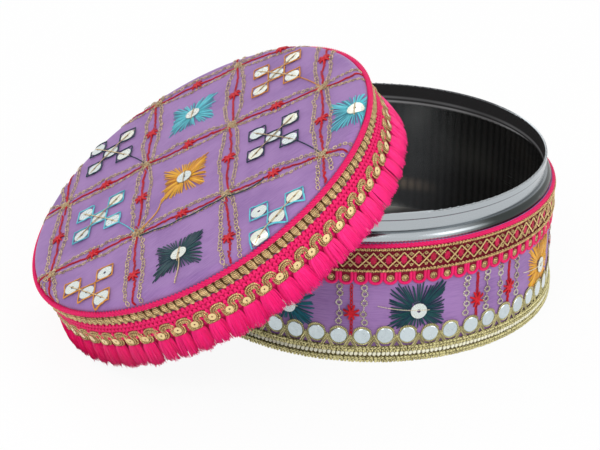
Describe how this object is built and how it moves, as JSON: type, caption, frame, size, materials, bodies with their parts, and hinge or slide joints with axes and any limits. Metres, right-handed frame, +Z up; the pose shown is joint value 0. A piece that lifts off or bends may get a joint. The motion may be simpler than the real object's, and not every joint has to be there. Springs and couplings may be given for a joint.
{
  "type": "sweet box",
  "caption": "Round steel sweet box wrapped in embroidered cloth with braid trim, its padded fringed cap lid taken off and leaning on the rim.",
  "frame": {"origin": "centre of the box's flat bottom face", "axes": "+Z up out of the box, -X towards the side where the lid leans, +Y to the left of that"},
  "size_m": [0.292, 0.2272, 0.1361],
  "materials": {
    "box_steel": "polished",
    "box_cloth": "plain silk-like weave",
    "pink_cord": "braided cord",
    "red_ribbon": "woven ribbon",
    "gold_cord": "metallic twisted cord",
    "gold_lattice": "metallic lattice over ribbon",
    "pink_loops": "looped cord",
    "mirror_glass": "small round mirrors",
    "mirror_cord": "metallic cord",
    "olive_braid": "metallic gimp braid",
    "cream_cord": "cream zigzag cord",
    "box_chain_thread": "metallic chain stitch",
    "box_red_thread": "satin stitch",
    "box_teal_thread": "satin stitch",
    "box_blue_thread": "satin stitch",
    "box_yellow_thread": "satin stitch",
    "box_sequin": "silvered sequin",
    "lid_steel": "polished",
    "lid_foam": "soft foam",
    "lid_cloth": "plain silk-like weave",
    "lid_pink_cord": "braided cord",
    "gold_gather": "gathered metallic ribbon",
    "pink_knit": "knitted band",
    "gold_scroll": "metallic double cord",
    "gold_spangle": "flat gold spangles",
    "pink_fringe": "silky thread fringe",
    "lid_red_thread": "chain stitch",
    "lid_red_knot": "satin stitch",
    "lid_chain_thread": "metallic chain stitch",
    "lid_gold_knot": "metallic thread",
    "lid_cyan_thread": "satin stitch",
    "lid_yellow_thread": "satin stitch",
    "lid_teal_thread": "satin stitch",
    "lid_orange_petal": "chain stitch",
    "lid_navy_petal": "chain stitch",
    "lid_cyan_petal": "chain stitch",
    "lid_sequin": "silvered sequin"
  },
  "bodies": {
    "box": {"box_pan": "box_steel", "box_cover": "box_cloth", "box_top_cord": "pink_cord", "box_ribbon": "red_ribbon", "box_gold_cords": "gold_cord", "box_lattice_band": "gold_lattice", "box_loop_edging": "pink_loops", "box_mirrors": "mirror_glass", "box_mirror_rims": "mirror_cord", "box_base_braid": "olive_braid", "box_cream_row": "cream_cord", "box_ring_chains": "box_chain_thread", "box_red_stitching": "box_red_thread", "box_teal_bursts": "box_teal_thread", "box_blue_bursts": "box_blue_thread", "box_yellow_bursts": "box_yellow_thread", "box_sequins": "box_sequin"},
    "lid": {"lid_shell": "lid_steel", "lid_pad": "lid_foam", "lid_cover": "lid_cloth", "lid_edge_cord": "lid_pink_cord", "lid_gold_puffs": "gold_gather", "lid_pink_band": "pink_knit", "lid_scroll_braid": "gold_scroll", "lid_scroll_discs": "gold_spangle", "lid_fringe": "pink_fringe", "lid_red_lines": "lid_red_thread", "lid_red_knots": "lid_red_knot", "lid_ring_chains": "lid_chain_thread", "lid_gold_knots": "lid_gold_knot", "lid_cyan_stars": "lid_cyan_thread", "lid_yellow_stars": "lid_yellow_thread", "lid_teal_stars": "lid_teal_thread", "lid_orange_petals": "lid_orange_petal", "lid_navy_petals": "lid_navy_petal", "lid_cyan_petals": "lid_cyan_petal", "lid_sequins": "lid_sequin"}
  },
  "joints": [
    {"name": "lid_lift", "type": "slide", "parent": "box", "child": "lid", "axis": [0, 0, 1], "range_m": [0, 0.12]}
  ]
}
